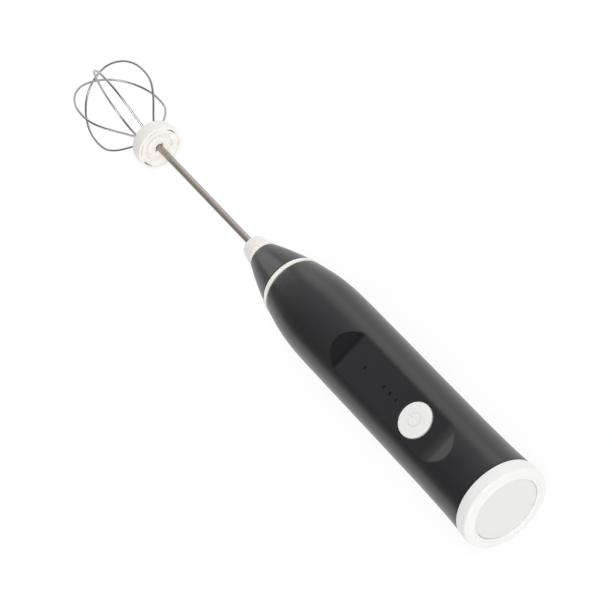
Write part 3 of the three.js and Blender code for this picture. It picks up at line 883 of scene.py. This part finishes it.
# %% End cap and disc
cap_profile = [
    (0, 2.1), (12.15, 2.1), (12.15, 0.2), (12.3, 0), (12.75, 0), (13.1, 0.4), (15.25, 0.45),
    *fair_curve([(15.25, 0.45), (15.78, 0.7), (16.02, 1.2), (16.1, 2.0)], 0.15)[1:],
    (16.1, 3.6), (16.02, 5.375), (13.1, 5.375), (13.1, 11.6), (11.4, 11.6), (11.4, 4.6), (0, 4.6),
]
cap = turned(rounded(cap_profile, 0.14), 192)
fit("end_cap_cup", cap, "handle", "white_abs", "white_shell", "end_cap")

disc_profile = [(0, 0.62), (8, 0.6), (11.8, 0.55), (12.1, 0.75), (12.1, 1.85), (0, 1.85)]
disc = turned(rounded(disc_profile, 0.15), 160)
fit("end_cap_disc", disc, "handle", "white_satin", "end_disc", "end_disc")

# %% [markdown]
# ## The nose of the handle
#
# A white trim ring hides the joint between the barrel and the nose cone. It stands a little proud
# and has a fine groove round its middle. The cone tapers to a small white cap with a bore for the
# rod, and a groove near the cap's back leaves a thin lip. Grooves could come from a bump, but they
# are in the profiles here, so that the outline shows them too.

# %% Ring, cone and nose cap
ring_profile = [
    (9.75, 127.8), (12.25, 127.8), (12.45, 128.1), (12.46, 128.55), (12.33, 128.66),
    (12.33, 128.74), (12.44, 128.84), (12.32, 129.2), (11.98, 129.8), (9.75, 129.85),
    (9.75, 127.8),
]
ring = turned(rounded(ring_profile, 0.12), 192)
fit("nose_ring", ring, "handle", "warm_white", "white_shell", "trim_ring")

taper = fair_curve([(11.8, 130.2), (9.95, 136.6), (8.1, 142.6), (6.1, 148.15)], 0.5)
cone_profile = [
    (8.0, 122.6), (9.4, 122.6), (9.5, 123.6), (9.5, 130.1), (11.7, 130.1), *taper,
    (6.0, 148.2), (4.55, 148.2), (4.55, 136.2), (3.4, 136.2), (3.4, 134.5), (6.4, 132),
    (8.0, 128), (8.0, 122.6),
]
cone = turned(rounded(cone_profile, 0.12), 160)
fit("nose_taper", cone, "handle", "black_abs", "black_shell", "nose_cone")

tip_profile = [
    (3.1, 143.2), (4.35, 143.2), (4.35, 148.45), (5.95, 148.45), (6.02, 148.55), (5.98, 149.05),
    (5.55, 149.2), (5.2, 149.28), (5.2, 149.6), (5.5, 149.72), (5.62, 150.0), (5.3, 151.8),
    (5.05, 153.2), (4.85, 154.4), (4.62, 155.5), (4.25, 156.35), (3.7, 156.78), (3.0, 156.9),
    (1.9, 156.9), (1.75, 156.7), (1.75, 148.45), (3.1, 148.45), (3.1, 143.2),
]
tip = turned(rounded(tip_profile, 0.08), 128)
fit("nose_tip", tip, "handle", "warm_white", "white_shell", "nose_cap")

# %% [markdown]
# ## Button and charging socket
#
# The button is a cap with a faintly domed top, and a flange under the panel keeps it in. A flat
# disc would look the same from above, but not from low down, so the whole key is turned about its
# own upright axis. The charging socket is a drawn metal sleeve with rolled ends and a plastic
# tongue, seated in its slot on the underside.

# %% Button and socket
button_profile = [
    (0, 9.75), (7.3, 9.75), (7.3, 10.35), (6.35, 10.35), (6.35, 13.15), (6.27, 13.35),
    (6.05, 13.47), (5.2, 13.53), (3.0, 13.58), (0, 13.6),
]
button = turned(rounded(button_profile, 0.12), 128, upright_at(BUTTON_STATION))
fit("power_key", button, "button", "button_white", "white_shell", "power_button")

sleeve_levels = [(-13.5, 8.7, 3.0), (-13.6, 8.8, 3.1), (-13.55, 8.9, 3.2), (-6.8, 8.9, 3.2)]
tongue_levels = [(-12.8, 6.4, 0.6), (-12.7, 6.6, 0.7), (-7.9, 6.6, 0.7)]
sleeve = slot_body(sleeve_levels, PORT_STATION)
mouth = slot_body([(-14.5, 8.1, 2.4), (-8.0, 8.1, 2.4)], PORT_STATION)
socket_shell = cut("port_sleeve", sleeve, [mouth])
tongue = slot_body(tongue_levels, PORT_STATION, steps=8)
fit("port_sleeve", socket_shell, "handle", "port_plate", "port_steel", "charge_port")
fit("port_tongue", tongue, "handle", "chip_epoxy", "port_steel", "charge_port")

# %% [markdown]
# ## The drive rod
#
# The rod is a length of drawn steel wire with a flat milled on its hidden end, where the drive
# socket turns it. A curve with a round bevel would make the wire, but not the flat. So it is
# turned like the other round pieces, and a block takes the flat away.

# %% Rod
ROD_RADIUS = 1.3
ROD_ENDS = (127.0, 229.8)
FLAT_HEIGHT = 0.78
FLAT_END = 136.4


def block(middle, size):
    """A box-shaped cutter, its size in millimetres."""
    shape = bmesh.new()
    bmesh.ops.create_cube(shape, size=1.0)
    scale = Matrix.Diagonal((*(side * MM for side in size), 1))
    bmesh.ops.transform(shape, matrix=Matrix.Translation(middle) @ scale, verts=shape.verts)
    return shape


rod_profile = [(0, ROD_ENDS[0]), *((ROD_RADIUS, end) for end in ROD_ENDS), (0, ROD_ENDS[1])]
flat_tool = block(at(0, FLAT_END - 6, FLAT_HEIGHT + 1.5), (6, 12, 3))
rod_shape = cut("drive_rod", turned(rounded(rod_profile, 0.2), 64), [flat_tool])
fit("drive_rod", rod_shape, "whisk", "rod_steel", "rod_steel", "whisk_rod")

# %% [markdown]
# ## The whisk's hub
#
# The hub is a shallow white cup with a pressed-in insert, which shows a boss round the rod, a ring
# groove, and six curved slots near its edge: two deep ones at the sides let milk run out, and the
# other four are shallow. The groove is in the turned profile. The slots aren't round, so each is
# cut with a tool that follows part of a circle.

# %% Hub cup and insert
LOOP_ANGLES = (13, 73, 133)
LEG_RING = 2.5
LEG_HOLE = 0.62
SLOT_RADII = (7.6, 8.05)
SLOT_SPAN = 30
SLOT_FLOORS = {9: 228.3, 69: 225.9, 129: 225.9, 189: 228.3, 249: 225.6, 309: 225.6}


def leg_holes(start, stop):
    """Drills for the six wire ends, in a ring round the rod."""
    drills = []
    for angle in [*LOOP_ANGLES, *(angle + 180 for angle in LOOP_ANGLES)]:
        x = LEG_RING * math.cos(math.radians(angle))
        z = LEG_RING * math.sin(math.radians(angle))
        profile = [(0, start), (LEG_HOLE, start), (LEG_HOLE, stop), (0, stop)]
        drills.append(turned(profile, 24, lambda u, v, s, x=x, z=z: at(u + x, s, v + z)))
    return drills


def arc_slot(middle, start, stop, steps=18):
    """A slot that follows part of a circle about the axis."""
    inner, outer = SLOT_RADII
    shape = bmesh.new()
    loops = []
    for station in (start, stop):
        loop = []
        for radius, parts in ((inner, range(steps + 1)), (outer, range(steps, -1, -1))):
            for part in parts:
                angle = math.radians(middle + SLOT_SPAN * (part / steps - 0.5))
                spot = at(radius * math.cos(angle), station, radius * math.sin(angle))
                loop.append(shape.verts.new(spot))
        loops.append(loop)
    close_ends(shape, loops)
    return shape


cup_profile = [
    (8.15, 225.1), (8.9, 225.1), (9.15, 225.35), (9.2, 226.0), (9.15, 228), (8.95, 230.3),
    (8.6, 231.15), (7.9, 231.6), (0, 231.6), (0, 230.3), (8.15, 230.3), (8.15, 225.1),
]
cup_blank = turned(rounded(cup_profile, 0.15), 160)
hub_cup = cut("hub_shell", cup_blank, leg_holes(229, 233))
fit("hub_shell", hub_cup, "whisk", "warm_white", "whisk_hub", "hub_cup")

insert_profile = [
    (0, 225.7), (3.9, 225.7), (4.15, 225.85), (4.4, 226.8), (5.4, 226.8), (5.7, 225.62),
    (5.9, 225.55), (8.12, 225.4), (8.12, 229.2), (0, 229.2),
]
insert_tools = [arc_slot(angle, 224, floor) for angle, floor in SLOT_FLOORS.items()]
rod_hole = turned([(0, 224), (1.5, 224), (1.5, 231), (0, 231)], 48)
key_notch = block(at(0, 225.6, 0), (4.2, 3.2, 1.1))
insert_tools += [rod_hole, key_notch, *leg_holes(226.8, 230)]
hub_insert = cut("hub_face", turned(rounded(insert_profile, 0.12), 160), insert_tools)
fit("hub_face", hub_insert, "whisk", "warm_white", "whisk_hub", "hub_insert")

# %% [markdown]
# ## The balloon whisk
#
# Three loops of spring wire leave the hub in a tight ring, flare into a belly and cross at the
# tip, one below another. A bevelled curve would be quick, but its ends stay open. Each loop is one
# wire, so it is swept here as one closed tube along a smooth path. The path follows the same bends
# as the packed wire, with many more sides and steps.

# %% Wire loops
WIRE_RADIUS = 0.43
TIPS = (278.0, 273.4, 276.8)
BELLY = 257.0
LOOP = [
    (2.5, 227.3), (2.5, 229.6), (2.5, 231.9), (3.6, 233.8), (7.4, 238.2), (13.1, 244.6),
    (16.2, 250.2), (17.0, 257.0), (15.95, 264.2), (12.3, 271.4), (6.7, 276.4),
]


def smooth_path(points, steps):
    """A centripetal Catmull-Rom line through the points."""
    ends = [points[0] * 2 - points[1], *points, points[-1] * 2 - points[-2]]
    path = []
    for a, b, c, d in zip(ends, ends[1:], ends[2:], ends[3:]):
        t1 = (b - a).length ** 0.5
        t2 = t1 + (c - b).length ** 0.5
        t3 = t2 + (d - c).length ** 0.5
        for part in range(steps):
            t = t1 + (t2 - t1) * part / steps
            ab = a.lerp(b, t / t1)
            bc = b.lerp(c, (t - t1) / (t2 - t1))
            cd = c.lerp(d, (t - t2) / (t3 - t2))
            abc = ab.lerp(bc, t / t2)
            bcd = bc.lerp(cd, (t - t1) / (t3 - t1))
            path.append(abc.lerp(bcd, (t - t1) / (t2 - t1)))
    return path + [points[-1]]


def loop_path(tip, angle):
    """The line of one loop, squeezed above the belly so that it ends at its tip's station."""
    squeeze = (tip - BELLY) / (TIPS[0] - BELLY)
    half = [(r, s if s < BELLY else BELLY + (s - BELLY) * squeeze) for r, s in LOOP]
    flat = [*half, (0.0, tip), *((-r, s) for r, s in reversed(half))]
    turn = math.radians(angle)
    return smooth_path([at(r * math.cos(turn), s, r * math.sin(turn)) for r, s in flat], 10)


def swept(path, radius, sides=20):
    """A round wire along a path, with its ends closed."""
    shape = bmesh.new()
    steps = [(b - a).normalized() for a, b in zip(path, path[1:])]
    bends = [(a + b).normalized() for a, b in zip(steps, steps[1:])]
    tangents = [steps[0], *bends, steps[-1]]
    side_way = tangents[0].orthogonal().normalized()
    loops = []
    for spot, tangent in zip(path, tangents):
        side_way = (side_way - tangent * side_way.dot(tangent)).normalized()
        up_way = tangent.cross(side_way)
        angles = [2 * math.pi * side / sides for side in range(sides)]
        ring = [side_way * math.cos(a) + up_way * math.sin(a) for a in angles]
        loops.append([shape.verts.new(spot + way * radius) for way in ring])
    close_ends(shape, loops)
    return shape


for number, (tip, angle) in enumerate(zip(TIPS, LOOP_ANGLES), 1):
    wire = swept(loop_path(tip, angle), WIRE_RADIUS * MM)
    packed = f"whisk_wire_{number}"
    fit(f"wire_loop_{number}", wire, "whisk", "whisk_chrome", "whisk_chrome", packed, crease=60)

# %% [markdown]
# ## Pieces that keep their packed shape
#
# The hidden pieces and the four light guides are already the right shape. They could be rebuilt
# too, but nothing would be gained, so each keeps its packed mesh and only gets the finish that
# suits it.

# %% Finishes for the inner pieces
INNER = {
    "smoked_lens": ["light_guide_1", "light_guide_2", "light_guide_3", "light_guide_4"],
    "led_ceramic": ["led_chip_1", "led_chip_2", "led_chip_3", "led_chip_4"],
    "board_green": ["circuit_board", "charge_board"],
    "chip_epoxy": ["controller_chip", "charge_coil", "switch_plunger"],
    "nickel_strip": ["switch_body", "battery_tab_negative", "battery_tab_positive"],
    "cell_wrap": ["battery_cell"],
    "lead_red": ["battery_lead_positive", "motor_lead_positive", "charge_lead_positive"],
    "lead_black": ["battery_lead_negative", "motor_lead_negative", "charge_lead_negative"],
    "frame_plastic": ["inner_frame", "motor_end_bell"],
    "motor_plate": [
        "motor_can", "motor_shaft", "frame_screw_left", "frame_screw_right",
        "motor_screw_left", "motor_screw_right",
    ],
    "magnet_ferrite": ["motor_magnet_left", "motor_magnet_right"],
    "copper_turns": ["motor_armature"],
    "turned_brass": [
        "commutator", "motor_bushing", "motor_terminal_left", "motor_terminal_right",
        "drive_socket", "nose_bush",
    ],
    "seal_rubber": ["nose_seal"],
}
for surface, names in INNER.items():
    for name in names:
        for material_slot in cad_nodes[name].material_slots:
            material_slot.material = FINISHES[surface]
kept = sum(len(names) for names in INNER.values())
print(kept, "packed pieces keep their shape")

# %% [markdown]
# ## The floor
#
# The frother lies on a sheet of pale paper. Paper lit only by the lamps would turn grey towards its
# edges, and a pure light source would show no shadow. A mix of the two stays almost white and
# keeps a faint shadow under the handle.

# %% Floor
PAPER_GLOW = 0.85

floor_mesh = bpy.data.meshes.new("studio_floor")
floor_shape = bmesh.new()
bmesh.ops.create_grid(floor_shape, x_segments=1, y_segments=1, size=4.0)
floor_shape.to_mesh(floor_mesh)
floor_shape.free()
floor = bpy.data.objects.new("studio_floor", floor_mesh)
bpy.context.collection.objects.link(floor)
floor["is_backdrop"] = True
pale = bpy.data.materials.new("pale_paper")
pale.use_nodes = True
pale.node_tree.nodes.clear()
paper = Socket(pale.node_tree)
matt = paper.node("ShaderNodeBsdfDiffuse", {}, {"Color": (0.9, 0.9, 0.9, 1.0)})
glow = paper.node("ShaderNodeEmission", {}, {"Color": (1.0, 1.0, 1.0, 1.0), "Strength": 1.05})
mixed = paper.node("ShaderNodeMixShader", {}, {0: PAPER_GLOW, 1: matt, 2: glow})
paper.node("ShaderNodeOutputMaterial", {}, {"Surface": mixed})
floor_mesh.materials.append(pale)
print("floor:", floor.dimensions.x, "m wide")

# %% [markdown]
# ## The light tent
#
# A black glossy handle shows what stands round it more than its own colour, so the room is drawn
# for its reflections. Real panels could be modelled for it, but a ramp over the height says the
# same in a few numbers. The walls glow, brighter on the right, and go dark
# overhead, so the floor of the recess catches a wall and its far end stays dark. The camera itself
# sees a plain pale backdrop in their place.

# %% Tent walls
studio = bpy.data.worlds.new("light_tent")
bpy.context.scene.world = studio
studio.use_nodes = True
studio.node_tree.nodes.clear()
sky = Socket(studio.node_tree)
direction = sky.node("ShaderNodeTexCoord", output="Generated")
height = sky.node("ShaderNodeSeparateXYZ", {}, {0: direction}, output="Z")
glow_by_height = ramp(
    height, (0.0, (0.8, 0.8, 0.8)), (0.35, (0.68, 0.68, 0.69)), (0.74, (0.84, 0.84, 0.87)),
    (0.83, (0.5, 0.5, 0.52)), (0.91, (0.0, 0.0, 0.0)),
)
sideways = sky.node("ShaderNodeSeparateXYZ", {}, {0: direction}, output="X")
right_side = band(sideways, -0.85, 0.3) * 0.65 + 0.35
walls = sky.node("ShaderNodeBackground", {}, {"Color": glow_by_height, "Strength": right_side})
plain = sky.node("ShaderNodeBackground", {}, {"Color": (0.94, 0.94, 0.945, 1), "Strength": 1.0})
seen = sky.node("ShaderNodeLightPath", {}, {}, output="Is Camera Ray")
backdrop = sky.node("ShaderNodeMixShader", {}, {0: seen, 1: walls, 2: plain})
sky.node("ShaderNodeOutputWorld", {}, {"Surface": backdrop})
print("tent:", len(studio.node_tree.nodes), "nodes")

# %% [markdown]
# ## Lamps
#
# White plastic needs light from above, and black plastic needs a bright shape to reflect. One
# large lamp above the camera and a second on the left light the white pieces without showing in
# the handle. Low panels on the right and at the back draw the soft highlights on that side and in
# the near end of the recess. Small lamps would be simpler to place but would leave hard spots.
# The Standard view transform keeps the paper white.

# %% Lamps
def soft_panel(name, place, target, width, height, power):
    """A large rectangular lamp that faces a target."""
    lamp = bpy.data.lights.new(name, "AREA")
    lamp.shape = "RECTANGLE"
    lamp.size = width
    lamp.size_y = height
    lamp.energy = power
    made = bpy.data.objects.new(name, lamp)
    made.location = place
    aim = Vector(target) - Vector(place)
    made.rotation_euler = aim.to_track_quat("-Z", "Y").to_euler()
    bpy.context.collection.objects.link(made)
    print(f"{name}: {power} W, {aim.length:.2f} m away")


soft_panel("key_panel", (0.15, -0.85, 1.25), (0, 0, 0.01), 0.8, 0.7, 9.5)
soft_panel("left_panel", (-0.95, -0.55, 1.0), (0, 0.03, 0.01), 0.8, 0.8, 5.0)
soft_panel("side_panel", (0.95, 0.85, 0.36), (0, 0, 0.02), 0.9, 0.6, 1.5)
soft_panel("back_panel", (0.0, 1.35, 0.36), (0, 0, 0.02), 0.8, 0.35, 1.25)
bpy.context.scene.view_settings.view_transform = "Standard"

# Both boxes are kept side by side, and the size of the visual box is printed.

# %% Gather the boxes and finish
sizes = {
    "cad": [list(corner) for corner in cad_box],
    "visual": [list(corner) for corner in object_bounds()],
}
print("visual size, mm:", [round((b - a) / MM, 2) for a, b in zip(*sizes["visual"])])
